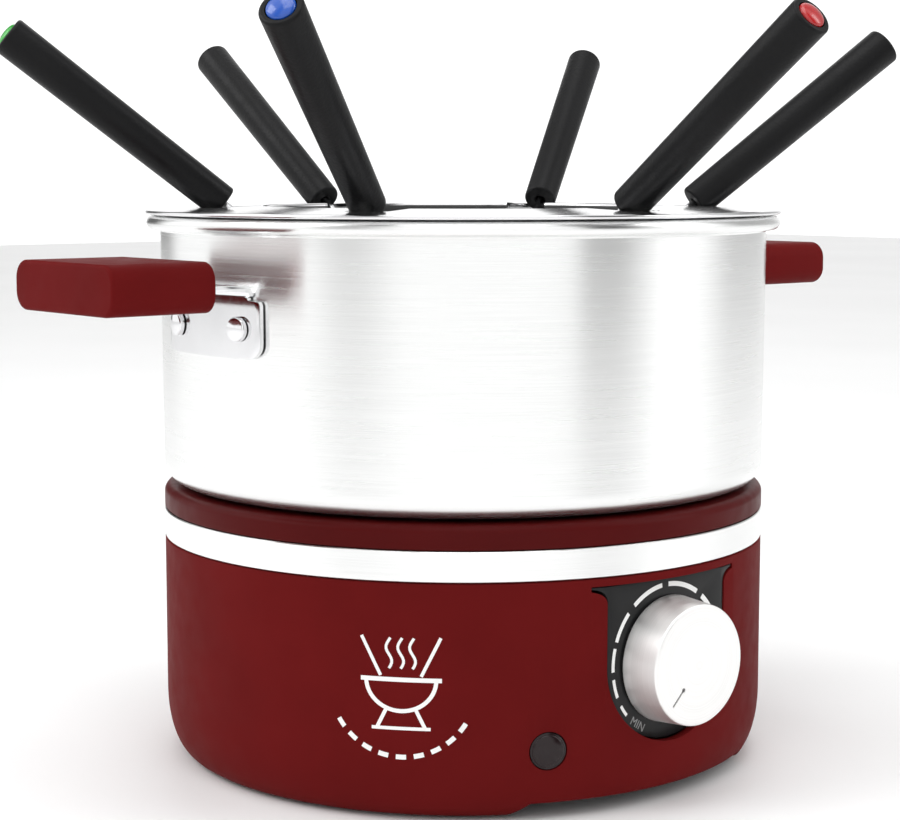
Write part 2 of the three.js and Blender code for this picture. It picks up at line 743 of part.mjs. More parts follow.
piece('control_bezel', makeBezel(), blackPlastic);
piece('thermostat_body', makeThermostat(), ceramic);
const nutBack = dial.facet - dial.nutPocketDepth + GAP;
piece('thermostat_nut', faceFront(makeNut(dial.bushRadius + GAP, 13, nutBack, nutBack + 2.2)), brass);
piece('thermostat_shaft', makeShaft(), steel);
piece('knob_shell', makeKnobShell(), aluminium);
piece('knob_core', makeKnobCore(), blackPlastic);
piece('lamp_lens', makeLens(), smokedLens);
piece('lamp_bulb', makeBulb(), brass);
piece('cord_gland', makeGland(), rubber);
piece('terminal_block', makeTerminalBlock(), ceramic);
piece('thermal_fuse', box(-7, 7, 28, 32, 59, 63), steel);
piece('lead_live', makeLead([[2, 76, 21], [16, 70, 17], [26, 56, 13]]), leadColours.live);
piece('lead_neutral', makeLead([[-2, 76, 21], [-2, 62, 16], [5, 51, 12.5], [12, 48, 12]]), leadColours.neutral);
piece('lead_earth', makeLead([[34, 40, 13], [38, 20, 22], [28, -30, 40], [7, -50.4, 44.9]]), leadColours.earth);

piece('pot_shell', makePotShell(), steel);
piece('bracket_left', makeBracket(-1), steel);
piece('bracket_right', makeBracket(1), steel);
piece('grip_left', makeGrip(-1), burgundy);
piece('grip_right', makeGrip(1), burgundy);
rivetSpots().forEach(({ name, turn }) => piece(name, makeRivet(turn), steel));

piece('fork_ring', makeForkRing(), steel);
aroundFront(fork.count, 0, 60).forEach((angle, i) => addFork(i + 1, angle, capColours[i]));

export default model;
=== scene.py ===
"""Looks of the electric fondue set: smooth meshes, materials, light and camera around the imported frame.

Lengths are in metres unless a name ends in _MM. The knob faces -Y and the grips point along +X and -X.
"""

import math

import bmesh
import bpy
from mathutils import Matrix, Vector


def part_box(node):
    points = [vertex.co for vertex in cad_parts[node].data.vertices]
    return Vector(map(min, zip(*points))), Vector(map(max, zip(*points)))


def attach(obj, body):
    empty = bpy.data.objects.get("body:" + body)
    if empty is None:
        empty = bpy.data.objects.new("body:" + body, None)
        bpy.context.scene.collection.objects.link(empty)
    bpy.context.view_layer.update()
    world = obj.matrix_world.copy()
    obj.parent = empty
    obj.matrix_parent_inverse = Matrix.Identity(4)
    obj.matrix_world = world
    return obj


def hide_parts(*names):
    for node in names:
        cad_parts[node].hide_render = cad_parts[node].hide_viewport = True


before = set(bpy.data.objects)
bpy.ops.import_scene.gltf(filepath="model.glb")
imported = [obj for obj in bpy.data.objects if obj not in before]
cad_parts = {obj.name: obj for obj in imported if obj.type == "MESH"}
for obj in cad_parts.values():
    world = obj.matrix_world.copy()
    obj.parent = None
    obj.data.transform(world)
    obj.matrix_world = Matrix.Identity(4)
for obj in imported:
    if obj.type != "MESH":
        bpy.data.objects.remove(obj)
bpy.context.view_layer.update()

MM = 0.001
TURN = 2 * math.pi
AROUND = 160  # facets round the big circles
AROUND_BASE = 192
AROUND_POT = 256
AROUND_RING = 240
AROUND_SMALL = 48

# ------------------------------------------------------------------ places taken from the frame

HOUSING_LOW, HOUSING_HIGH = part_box("base_housing")
BAND_LOW, BAND_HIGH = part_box("trim_band")
COLLAR_LOW, COLLAR_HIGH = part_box("top_collar")
PLATE_LOW, PLATE_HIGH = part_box("hot_plate")
POT_LOW, POT_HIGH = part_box("pot_shell")
RING_LOW, RING_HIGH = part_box("fork_ring")
BEZEL_LOW, BEZEL_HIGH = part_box("control_bezel")
KNOB_LOW, KNOB_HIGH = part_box("knob_shell")
LENS_LOW, LENS_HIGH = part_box("lamp_lens")

BASE_RADIUS = HOUSING_HIGH.x
DIAL_HEIGHT = (KNOB_LOW.z + KNOB_HIGH.z) / 2
BEZEL_FACE = -BEZEL_LOW.y
KNOB_FACE = -KNOB_LOW.y
KNOB_BACK = -KNOB_HIGH.y
LAMP_CENTRE = (LENS_LOW + LENS_HIGH) / 2
LAMP_ANGLE = math.atan2(LAMP_CENTRE.x, -LAMP_CENTRE.y)


# ------------------------------------------------------------------ mesh helpers


def arc(centre, across, up, start, end, steps):
    """Points of an elliptical arc, angles in degrees, both ends included."""
    points = []
    for i in range(steps + 1):
        angle = math.radians(start + (end - start) * i / steps)
        points.append((centre[0] + across * math.cos(angle), centre[1] + up * math.sin(angle)))
    return points


def to_object(name, mesh_builder, material, crease=35):
    """Turns a bmesh into a linked object with smooth shading that stays sharp at its edges."""
    mesh = bpy.data.meshes.new(name)
    bmesh.ops.recalc_face_normals(mesh_builder, faces=mesh_builder.faces)
    mesh_builder.to_mesh(mesh)
    mesh_builder.free()
    obj = bpy.data.objects.new(name, mesh)
    bpy.context.scene.collection.objects.link(obj)
    mesh.materials.append(material)
    smooth(obj, crease)
    return obj


def smooth(obj, crease=35):
    obj.data.shade_smooth()
    obj.data.set_sharp_from_angle(angle=math.radians(crease))


def loft(rings):
    """Joins equal rings of points with quads and closes both ends."""
    builder = bmesh.new()
    rows = [[builder.verts.new(p) for p in ring] for ring in rings]
    count = len(rows[0])
    for low, high in zip(rows, rows[1:]):
        for i in range(count):
            j = (i + 1) % count
            builder.faces.new((low[i], low[j], high[j], high[i]))
    builder.faces.new(rows[0][::-1])
    builder.faces.new(rows[-1])
    return builder


def turned(profile, around=AROUND):
    """A solid of revolution about Z. Points are (radius, height); open profiles start and end on the axis."""
    builder = bmesh.new()
    on_axis = profile[0][0] == 0
    rows = []
    for radius, height in profile:
        if radius == 0:
            rows.append([builder.verts.new((0, 0, height))])
            continue
        row = []
        for i in range(around):
            angle = TURN * i / around
            row.append(builder.verts.new((radius * math.cos(angle), radius * math.sin(angle), height)))
        rows.append(row)
    pairs = list(zip(rows, rows[1:]))
    if not on_axis:
        pairs.append((rows[-1], rows[0]))
    for low, high in pairs:
        for i in range(around):
            j = (i + 1) % around
            if len(low) == 1:
                builder.faces.new((low[0], high[j], high[i]))
            elif len(high) == 1:
                builder.faces.new((low[i], low[j], high[0]))
            else:
                builder.faces.new((low[i], low[j], high[j], high[i]))
    return builder


def prism(outline, low, high):
    """A flat outline in X and Y, pushed from one height to another."""
    return loft([[(x, y, low) for x, y in outline], [(x, y, high) for x, y in outline]])


def block(low, high):
    """A plain box, used as a cutter or as the start of a bevelled piece."""
    outline = [(low[0], low[1]), (high[0], low[1]), (high[0], high[1]), (low[0], high[1])]
    return prism(outline, low[2], high[2])


def moved(builder, matrix):
    bmesh.ops.transform(builder, matrix=matrix, verts=builder.verts)
    return builder


def facing_front(builder):
    """Lays a piece made along +Z down so that it points along -Y at the knob's height."""
    return moved(builder, Matrix.Translation((0, 0, DIAL_HEIGHT)) @ Matrix.Rotation(math.pi / 2, 4, "X"))


def facing_out(builder, angle, height):
    """Lays a piece made along +Z down and turns it to an angle from the front."""
    turn = Matrix.Rotation(angle, 4, "Z") @ Matrix.Rotation(math.pi / 2, 4, "X")
    return moved(builder, Matrix.Translation((0, 0, height)) @ turn)


def carve(obj, cutters, operation="DIFFERENCE"):
    """Cuts each cutter bmesh out of obj, or joins it on, and leaves a plain mesh."""
    for number, builder in enumerate(cutters):
        tool = to_object(f"{obj.name}_tool_{number}", builder, obj.data.materials[0])
        change = obj.modifiers.new("carve", "BOOLEAN")
        change.object = tool
        change.operation = operation
        change.solver = "EXACT"
        apply_modifiers(obj)
        bpy.data.objects.remove(tool)
    return obj


def apply_modifiers(obj):
    bpy.context.view_layer.update()
    graph = bpy.context.evaluated_depsgraph_get()
    mesh = bpy.data.meshes.new_from_object(obj.evaluated_get(graph))
    obj.modifiers.clear()
    obj.data = mesh
    return obj


def soften(obj, width, segments=3, angle=40):
    """Rounds the sharp edges of a piece."""
    bevel = obj.modifiers.new("soften", "BEVEL")
    bevel.width = width
    bevel.segments = segments
    bevel.limit_method = "ANGLE"
    bevel.angle_limit = math.radians(angle)
    bevel.use_clamp_overlap = True
    apply_modifiers(obj)
    smooth(obj)
    return obj


def rounded_outline(half_width, low, high, radius, steps=8):
    """A rounded rectangle, symmetric about its first axis."""
    outline = []
    corners = (
        (half_width - radius, low + radius, -90),
        (half_width - radius, high - radius, 0),
        (-half_width + radius, high - radius, 90),
        (-half_width + radius, low + radius, 180),
    )
    for x, y, start in corners:
        outline += arc((x, y), radius, radius, start, start + 90, steps)
    return outline


def finish_piece(obj, body, slot, *nodes):
    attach(obj, body)
    if nodes:
        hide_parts(*nodes)
    return obj


# ------------------------------------------------------------------ materials


# the part of a noise texture's range that colours and roughness are spread over
NOISE_LOW = 0.3
NOISE_HIGH = 0.7


class Recipe:
    """A short way to write a node material around one Principled shader."""

    def __init__(self, name):
        self.material = bpy.data.materials.new(name)
        self.material.use_nodes = True
        self.nodes = self.material.node_tree.nodes
        self.links = self.material.node_tree.links
        self.shader = self.nodes["Principled BSDF"]
        self.place = self.nodes.new("ShaderNodeTexCoord").outputs["Object"]
        self.bumps = None

    def set(self, **values):
        for key, value in values.items():
            self.shader.inputs[key.replace("_", " ")].default_value = value
        return self

    def scaled(self, scale):
        mapping = self.nodes.new("ShaderNodeMapping")
        mapping.inputs["Scale"].default_value = scale
        self.links.new(self.place, mapping.inputs["Vector"])
        return mapping.outputs["Vector"]

    def noise(self, scale, detail=4.0, stretch=(1, 1, 1), roughness=0.5):
        node = self.nodes.new("ShaderNodeTexNoise")
        node.inputs["Scale"].default_value = scale
        node.inputs["Detail"].default_value = detail
        node.inputs["Roughness"].default_value = roughness
        self.links.new(self.scaled(stretch), node.inputs["Vector"])
        return node.outputs["Fac"]

    def spread(self, value, low, high):
        node = self.nodes.new("ShaderNodeMapRange")
        node.inputs["From Min"].default_value = NOISE_LOW
        node.inputs["From Max"].default_value = NOISE_HIGH
        node.inputs["To Min"].default_value = low
        node.inputs["To Max"].default_value = high
        self.links.new(value, node.inputs["Value"])
        return node.outputs["Result"]

    def colour(self, value, dark, light):
        ramp = self.nodes.new("ShaderNodeValToRGB")
        ramp.color_ramp.elements[0].position = NOISE_LOW
        ramp.color_ramp.elements[0].color = (*dark, 1)
        ramp.color_ramp.elements[1].position = NOISE_HIGH
        ramp.color_ramp.elements[1].color = (*light, 1)
        self.links.new(value, ramp.inputs["Fac"])
        self.links.new(ramp.outputs["Color"], self.shader.inputs["Base Color"])
        return self

    def roughness(self, value, low, high):
        self.links.new(self.spread(value, low, high), self.shader.inputs["Roughness"])
        return self

    def bump(self, value, strength, distance):
        node = self.nodes.new("ShaderNodeBump")
        node.inputs["Strength"].default_value = strength
        node.inputs["Distance"].default_value = distance
        self.links.new(value, node.inputs["Height"])
        if self.bumps is not None:
            self.links.new(self.bumps, node.inputs["Normal"])
        self.bumps = node.outputs["Normal"]
        self.links.new(self.bumps, self.shader.inputs["Normal"])
        return self


def tint(colour, factor):
    return tuple(channel * factor for channel in colour)


def plastic(name, colour, gloss, grain=0.00004, grain_scale=2600, spread=0.08, coat=0.0, shine=0.5):
    """Moulded plastic: a fine spark-eroded grain, slow colour drift and uneven gloss."""
    recipe = Recipe(name)
    recipe.set(Coat_Weight=coat, Coat_Roughness=0.12, Specular_IOR_Level=shine)
    drift = recipe.noise(38, 3)
    recipe.colour(drift, tint(colour, 1 - spread), tint(colour, 1 + spread))
    recipe.roughness(recipe.noise(160, 5), gloss - 0.05, gloss + 0.06)
    recipe.bump(recipe.noise(grain_scale, 2), 0.35, grain)
    return recipe.material


def brushed_round(name, colour, rough, streak=0.00001, fine=7000, anisotropy=0.55):
    """Metal brushed round the Z axis: long streaks that run round the wall."""
    recipe = Recipe(name)
    recipe.set(Metallic=1.0, Anisotropic=anisotropy, Anisotropic_Rotation=0.25)
    tangent = recipe.nodes.new("ShaderNodeTangent")
    tangent.direction_type = "RADIAL"
    tangent.axis = "Z"
    recipe.links.new(tangent.outputs["Tangent"], recipe.shader.inputs["Tangent"])
    streaks = recipe.noise(1, 6, (30, 30, fine), 0.6)
    broad = recipe.noise(1, 3, (30, 30, 2200), 0.5)
    recipe.colour(streaks, tint(colour, 0.95), tint(colour, 1.04))
    recipe.roughness(broad, rough - 0.02, rough + 0.03)
    recipe.bump(streaks, 0.12, streak)
    return recipe.material


def polished(name, colour, rough, scratch=0.00001):
    """Bright metal with faint wipe marks and handling haze."""
    recipe = Recipe(name)
    recipe.set(Metallic=1.0)
    haze = recipe.noise(90, 5)
    recipe.colour(haze, tint(colour, 0.95), tint(colour, 1.03))
    recipe.roughness(recipe.noise(400, 6, (1, 4, 1)), max(rough - 0.04, 0.02), rough + 0.05)
    recipe.bump(recipe.noise(1400, 4, (1, 6, 1)), 0.15, scratch)
    return recipe.material


def spun_face(name, colour, rough):
    """Aluminium turned on a lathe about the knob's axis: fine circles on the face, streaks round the side."""
    recipe = Recipe(name)
    recipe.set(Metallic=1.0, Anisotropic=0.35)
    split = recipe.nodes.new("ShaderNodeSeparateXYZ")
    recipe.links.new(recipe.place, split.inputs["Vector"])
    lift = recipe.nodes.new("ShaderNodeMath")
    lift.operation = "SUBTRACT"
    lift.inputs[1].default_value = DIAL_HEIGHT
    recipe.links.new(split.outputs["Z"], lift.inputs[0])
    radial = recipe.nodes.new("ShaderNodeCombineXYZ")
    recipe.links.new(split.outputs["X"], radial.inputs["X"])
    recipe.links.new(lift.outputs["Value"], radial.inputs["Y"])
    length = recipe.nodes.new("ShaderNodeVectorMath")
    length.operation = "LENGTH"
    recipe.links.new(radial.outputs["Vector"], length.inputs[0])
    rings = recipe.nodes.new("ShaderNodeCombineXYZ")
    recipe.links.new(length.outputs["Value"], rings.inputs["X"])
    recipe.links.new(split.outputs["Y"], rings.inputs["Y"])
    noise = recipe.nodes.new("ShaderNodeTexNoise")
    noise.inputs["Scale"].default_value = 5200
    noise.inputs["Detail"].default_value = 3
    recipe.links.new(rings.outputs["Vector"], noise.inputs["Vector"])
    recipe.colour(noise.outputs["Fac"], tint(colour, 0.95), tint(colour, 1.03))
    recipe.roughness(noise.outputs["Fac"], rough - 0.03, rough + 0.04)
    recipe.bump(noise.outputs["Fac"], 0.2, 0.00002)
    return recipe.material


BURGUNDY = (0.118, 0.0065, 0.0068)
STEEL = (0.87, 0.875, 0.87)

burgundy = plastic("burgundy_plastic", BURGUNDY, 0.55, 0.00003, 2400, 0.07, shine=0.03)
# the collar's burgundy is the housing's colour darkened to 0.6: painted shade standing for the pot's shadow
# over the collar
collar_painted_shade_burgundy = plastic("collar_painted_shade_burgundy", tint(BURGUNDY, 0.6), 0.4, 0.00003, 2400, 0.07, shine=0.06)
brushed = brushed_round("brushed_steel", STEEL, 0.25, anisotropy=0.75)
band_steel = brushed_round("band_steel", STEEL, 0.24)
bright = polished("bright_steel", (0.80, 0.80, 0.81), 0.12)
ring_steel = brushed_round("ring_steel", (0.80, 0.80, 0.81), 0.15, 0.00001, 2600, 0.3)
lip_steel = polished("lip_steel", (0.1, 0.1, 0.1), 0.45, 0.00012)
knob_aluminium = spun_face("knob_aluminium", (0.93, 0.925, 0.915), 0.45)
sheet_aluminium = polished("sheet_aluminium", (0.75, 0.75, 0.74), 0.3)
bezel_black = plastic("bezel_black", (0.014, 0.014, 0.0145), 0.38, 0.00002, 2600, 0.1, shine=0.2)
handle_black = plastic("handle_black", (0.0045, 0.0045, 0.005), 0.4, 0.00025, 1100, 0.15, shine=0.16)
cover_black = plastic("cover_black", (0.012, 0.012, 0.012), 0.55, 0.00005, 1800, 0.12)
rubber = plastic("foot_rubber", (0.011, 0.011, 0.011), 0.8, 0.00006, 1200, 0.12)
enamel = plastic("plate_enamel", (0.012, 0.012, 0.012), 0.3, 0.00004, 900, 0.15, 0.3)
ceramic = plastic("ceramic", (0.62, 0.58, 0.49), 0.65, 0.00004, 900, 0.06)
brass = polished("brass", (0.72, 0.53, 0.2), 0.25)
lens_dark = plastic("lamp_lens_dark", (0.016, 0.008, 0.009), 0.18, 0.000005, 900, 0.2, shine=0.3)
print_white = plastic("print_white", (0.86, 0.86, 0.85), 0.5, 0.00001, 3000, 0.03)
print_grey = plastic("print_grey", (0.24, 0.24, 0.24), 0.5, 0.00001, 3000, 0.04)
pointer_grey = plastic("pointer_grey", (0.2, 0.2, 0.2), 0.5, 0.00001, 3000, 0.05)

CAP_COLOURS = {
    "red": (0.42, 0.006, 0.008),
    "purple": (0.14, 0.03, 0.26),
    "orange": (0.6, 0.13, 0.008),
    "yellow": (0.62, 0.4, 0.01),
    "green": (0.02, 0.36, 0.03),
    "blue": (0.006, 0.075, 0.42),
}
WIRE_COLOURS = {"live": (0.14, 0.05, 0.025), "neutral": (0.02, 0.1, 0.42), "earth": (0.14, 0.34, 0.04)}


# ------------------------------------------------------------------ base

WALL = 2.4 * MM
NECK_STEP = 1.8 * MM
GAP = 0.3 * MM
CORNER_ACROSS = 7 * MM
CORNER_UP = 18 * MM
ARCH_HALF = 46 * MM
ARCH_TOP_HALF = 41 * MM
ARCH_HEIGHT = 4 * MM
BEZEL_HALF = 22.3 * MM
EAR_BOTTOM = 58.5 * MM
LAMP_RADIUS = 5 * MM
GLAND_HEIGHT = 21 * MM
GLAND_HOLE = 6 * MM
SHOULDER_HEIGHT = 78.6 * MM
HOLE_INNER = 80 * MM  # reach of the round cutters through the wall
CUT_INNER = 78 * MM
CUT_OUTER = 95 * MM


def bezel_outline(grow):
    """Straight sides, a round bottom and two pointed ears at the top, seen from the front."""
    half = BEZEL_HALF + grow
    ear = BEZEL_HIGH.x + grow
    top = BEZEL_HIGH.z + grow
    tip_low = BEZEL_HIGH.z - 0.5 * MM - 2 * grow
    bend = BEZEL_HIGH.z - 1 * MM - 3 * grow
    flare = []
    for i in range(9):
        t = i / 8
        x = (1 - t) ** 2 * half + 2 * t * (1 - t) * half + t * t * ear
        z = (1 - t) ** 2 * (EAR_BOTTOM - grow) + 2 * t * (1 - t) * bend + t * t * tip_low
        flare.append((x, z))
    mirrored = [(-x, z) for x, z in reversed(flare)]
    bottom = arc((0, DIAL_HEIGHT), half, half, 180, 360, 48)
    return flare + [(ear, top), (-ear, top)] + mirrored + bottom


def make_housing():
    low = HOUSING_LOW.z
    step = BAND_LOW.z - GAP
    neck = BASE_RADIUS - NECK_STEP
    corner = arc((BASE_RADIUS - CORNER_ACROSS, low + CORNER_UP), CORNER_ACROSS, CORNER_UP, -90, 0, 16)
    inner = [(r - WALL, z) for r, z in reversed(corner)]
    edge = 0.35 * MM
    profile = corner + [
        (BASE_RADIUS, step - edge),
        (BASE_RADIUS - edge, step),
        (neck, step),
        (neck, HOUSING_HIGH.z),
        (neck - WALL, HOUSING_HIGH.z),
        (neck - WALL, step - 2.5 * MM),
        (BASE_RADIUS - WALL, step - 4.3 * MM),
    ] + inner
    shell = to_object("housing", turned(profile, AROUND_BASE), burgundy)
    arch = [
        (-ARCH_HALF, low - 1 * MM),
        (ARCH_HALF, low - 1 * MM),
        (ARCH_TOP_HALF, low + ARCH_HEIGHT),
        (-ARCH_TOP_HALF, low + ARCH_HEIGHT),
    ]
    reach = BASE_RADIUS + 5 * MM
    cutters = [
        moved(prism(arch, -reach, reach), Matrix.Rotation(math.pi / 2, 4, "X")),
        moved(prism(bezel_outline(GAP), CUT_INNER, CUT_OUTER), Matrix.Rotation(math.pi / 2, 4, "X")),
        facing_out(hole_tool(LAMP_RADIUS + GAP), LAMP_ANGLE, LAMP_CENTRE.z),
        facing_out(hole_tool(GLAND_HOLE), math.pi, GLAND_HEIGHT),
    ]
    carve(shell, cutters)
    soften(shell, 0.3 * MM, 2, 50)
    return finish_piece(shell, "base", "burgundy_paint", "base_housing")


def hole_tool(radius):
    return turned(disc_profile(radius, HOLE_INNER, CUT_OUTER), 64)


def disc_profile(radius, low, high):
    return [(0, low), (radius, low), (radius, high), (0, high)]


def make_band():
    inner = BASE_RADIUS - NECK_STEP + GAP
    edge = 0.25 * MM
    profile = [
        (inner, BAND_LOW.z),
        (BASE_RADIUS - edge, BAND_LOW.z),
        (BASE_RADIUS, BAND_LOW.z + edge),
        (BASE_RADIUS, BAND_HIGH.z - edge),
        (BASE_RADIUS - edge, BAND_HIGH.z),
        (inner, BAND_HIGH.z),
    ]
    band = to_object("band", turned(profile, AROUND_BASE), band_steel)
    return finish_piece(band, "base", "brushed_steel", "trim_band")


def make_collar():
    low = BAND_HIGH.z + GAP
    skirt = BASE_RADIUS - NECK_STEP - WALL - GAP
    hole = 78.6 * MM
    wall = 1.8 * MM
    top_thickness = 2 * MM
    skirt_wall = 2.2 * MM
    shoulder_radius = 2.8 * MM
    edge = 0.35 * MM
    centre = (BASE_RADIUS - shoulder_radius, SHOULDER_HEIGHT)
    shoulder = arc(centre, shoulder_radius, COLLAR_HIGH.z - SHOULDER_HEIGHT, 0, 90, 12)
    lip = arc((hole + edge, COLLAR_HIGH.z - edge), edge, edge, 90, 180, 3)
    profile = [
        (skirt, COLLAR_LOW.z),
        (skirt, low),
        (BASE_RADIUS - edge, low),
        (BASE_RADIUS, low + edge),
        *shoulder,
        *lip,
        (hole, low),
        (hole + wall, low),
        (hole + wall, COLLAR_HIGH.z - top_thickness),
        (skirt - skirt_wall, COLLAR_HIGH.z - top_thickness),
        (skirt - skirt_wall, COLLAR_LOW.z),
    ]
    # the collar takes the darker burgundy, painted shade from the pot above it
    collar = to_object("collar", turned(profile, AROUND_BASE), collar_painted_shade_burgundy)
    return finish_piece(collar, "base", "burgundy_paint", "top_collar")


def make_plate():
    """The cast plate has shallow turned rings on top and a stud below."""
    top = PLATE_HIGH.z
    low = top - 6 * MM
    groove = 0.35 * MM
    rings = []
    for index in range(6):
        radius = (68 - 10 * index) * MM
        rings += [
            (radius, top),
            (radius - 0.5 * MM, top - groove),
            (radius - 1.5 * MM, top - groove),
            (radius - 2 * MM, top),
        ]
    profile = [
        (0, PLATE_LOW.z),
        (2.5 * MM, PLATE_LOW.z),
        (2.5 * MM, 66 * MM),
        (8 * MM, 66 * MM),
        (8 * MM, low),
        (76 * MM, low),
        (78 * MM, low + 2 * MM),
        *arc((77.2 * MM, top - 0.8 * MM), 0.8 * MM, 0.8 * MM, 0, 90, 4),
        *rings,
        (0, top),
    ]
    return finish_piece(to_object("plate", turned(profile), enamel), "base", "plate_enamel", "hot_plate")


def make_bezel():
    back = -BEZEL_HIGH.y
    slab = moved(prism(bezel_outline(0), back, BEZEL_FACE), Matrix.Rotation(math.pi / 2, 4, "X"))
    panel = to_object("bezel", slab, bezel_black)
    flush = turned(disc_profile(BASE_RADIUS - GAP, 10 * MM, 70 * MM), AROUND_BASE)
    carve(panel, [flush], "INTERSECT")
    carve(panel, [facing_front(turned(disc_profile(8 * MM, BEZEL_FACE - 3.2 * MM, BEZEL_FACE + 1 * MM), 48))])
    carve(panel, [facing_front(turned(disc_profile(4.8 * MM, back - 1 * MM, BEZEL_FACE), 48))])
    soften(panel, 0.25 * MM, 2, 40)
    return finish_piece(panel, "base", "black_plastic", "control_bezel")


def make_lamp():
    flange = LAMP_RADIUS + 1.5 * MM
    dome = arc((0, BASE_RADIUS), LAMP_RADIUS - 0.5 * MM, 1.0 * MM, 0, 90, 10)
    facets = []
    for index in range(4):
        radius = (3.6 - 0.9 * index) * MM
        facets += [(radius, BASE_RADIUS - 1.5 * MM), (radius - 0.45 * MM, BASE_RADIUS - 1.1 * MM)]
    profile = [
        (0, BASE_RADIUS - 1.5 * MM),
        *reversed(facets),
        (LAMP_RADIUS - 1.2 * MM, BASE_RADIUS - 1.5 * MM),
        (LAMP_RADIUS - 1.2 * MM, BASE_RADIUS - 6 * MM),
        (flange, BASE_RADIUS - 6 * MM),
        (flange, BASE_RADIUS - 3.2 * MM),
        (LAMP_RADIUS, BASE_RADIUS - 3.2 * MM),
        (LAMP_RADIUS, BASE_RADIUS - 0.3 * MM),
        *dome[:-1],
        (0, BASE_RADIUS + 1.0 * MM),
    ]
    lens = to_object("lens", facing_out(turned(profile, AROUND_SMALL), LAMP_ANGLE, LAMP_CENTRE.z), lens_dark)
    return finish_piece(lens, "base", "smoked_lens", "lamp_lens")


def make_gland():
    low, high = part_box("cord_gland")
    height = (low.z + high.z) / 2
    out = BASE_RADIUS + GAP
    profile = [
        (3.8 * MM, low.y),
        (5.7 * MM, low.y),
        (5.7 * MM, out),
        (7.9 * MM, out),
        *arc((6.6 * MM, out), 1.3 * MM, 2 * MM, 20, 90, 6),
        *arc((4.6 * MM, high.y - 0.8 * MM), 0.8 * MM, 0.8 * MM, 90, 180, 4),
    ]
    bush = to_object("gland", facing_out(turned(profile, AROUND_SMALL), math.pi, height), rubber)
    return finish_piece(bush, "base", "rubber", "cord_gland")


def make_foot(number):
    low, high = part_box(f"rubber_foot_{number}")
    radius = (high.x - low.x) / 2
    profile = [
        (0, 0),
        (radius * 0.45, 0),
        (radius * 0.5, 0.3 * MM),
        (radius * 0.62, 0.3 * MM),
        (radius * 0.67, 0),
        (radius - 0.8 * MM, 0),
        *arc((radius - 0.8 * MM, 0.8 * MM), 0.8 * MM, 0.8 * MM, -80, 0, 5),
        (radius, high.z),
        (0, high.z),
    ]
    centre = (low + high) / 2
    place = Matrix.Translation((centre.x, centre.y, 0))
    pad = to_object(f"foot_{number}", moved(turned(profile, AROUND_SMALL), place), rubber)
    return finish_piece(pad, "base", "rubber", f"rubber_foot_{number}")


def make_screw(number):
    """A pan head with a cross recess."""
    low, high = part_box(f"cover_screw_{number}")
    centre = (low + high) / 2
    head = 3.2 * MM
    profile = [
        (0, low.z),
        *arc((head - 0.8 * MM, low.z + 0.8 * MM), 0.8 * MM, 0.8 * MM, -90, 0, 5),
        (head, low.z + 1.4 * MM),
        (1.4 * MM, low.z + 1.4 * MM),
        (1.4 * MM, high.z),
        (0, high.z),
    ]
    place = Matrix.Translation((centre.x, centre.y, 0))
    screw = to_object(f"screw_{number}", moved(turned(profile, 32), place), bright)
    arm = 1.7 * MM
    slit = 0.35 * MM
    for along, across in ((arm, slit), (slit, arm)):
        recess = block((-along, -across, low.z - 1 * MM), (along, across, low.z + 0.7 * MM))
        carve(screw, [moved(recess, place)])
    smooth(screw)
    return finish_piece(screw, "base", "polished_steel", f"cover_screw_{number}")


# ------------------------------------------------------------------ knob and dial print

POINTER_ANGLE = math.radians(225)  # anticlockwise from the right, seen from the front
SCALE_RADIUS = 20.5 * MM
# first and last angle of each dash, clockwise from the top
SCALE_DASHES = ((-132, -122), (-114, -99), (-93, -75), (-70, -46), (-38, -6), (1, 34), (41, 76), (83, 122))
PRINT_LIFT = 0.05 * MM
WORD_SIZE = 3.3 * MM
WORD_ANGLE = 147
WORD_INSET = 0.2 * MM


def make_knob():
    wall = 1.2 * MM
    back_radius = (KNOB_HIGH.x - KNOB_LOW.x) / 2
    face_radius = back_radius - 0.9 * MM
    profile = [
        (0, KNOB_FACE - wall),
        (face_radius - wall, KNOB_FACE - wall),
        (back_radius - wall, KNOB_BACK),
        (back_radius, KNOB_BACK),
        *arc((face_radius - 0.7 * MM, KNOB_FACE - 0.7 * MM), 0.7 * MM, 0.7 * MM, 0, 90, 6),
        (face_radius * 0.5, KNOB_FACE),
        (0, KNOB_FACE),
    ]
    shell = to_object("knob_cap", facing_front(turned(profile, 128)), knob_aluminium)
    groove = capsule_outline(8.6 * MM, 13.8 * MM, 0.28 * MM)
    dimple = arc((8.4 * MM, 0), 0.62 * MM, 0.62 * MM, 0, 342, 19)
    depth = 0.25 * MM
    tools = []
    for outline in (groove, dimple):
        cut = prism(outline, KNOB_FACE - depth, KNOB_FACE + 1 * MM)
        tools.append(facing_front(moved(cut, Matrix.Rotation(POINTER_ANGLE, 4, "Z"))))
    carve(shell, tools)
    smooth(shell)
    finish_piece(shell, "knob", "aluminium", "knob_shell")
    for name, outline in (("pointer_line", groove), ("pointer_dot", dimple)):
        fill = prism(outline, KNOB_FACE - depth - 0.02 * MM, KNOB_FACE - depth + 0.06 * MM)
        fill = facing_front(moved(fill, Matrix.Rotation(POINTER_ANGLE, 4, "Z")))
        finish_piece(to_object(name, fill, pointer_grey), "knob", "black_plastic")
    return shell


def capsule_outline(start, end, half_width):
    """A slot along the first axis with round ends."""
    far_end = arc((end, 0), half_width, half_width, -90, 90, 8)
    near_end = arc((start, 0), half_width, half_width, 90, 270, 8)
    return far_end + near_end


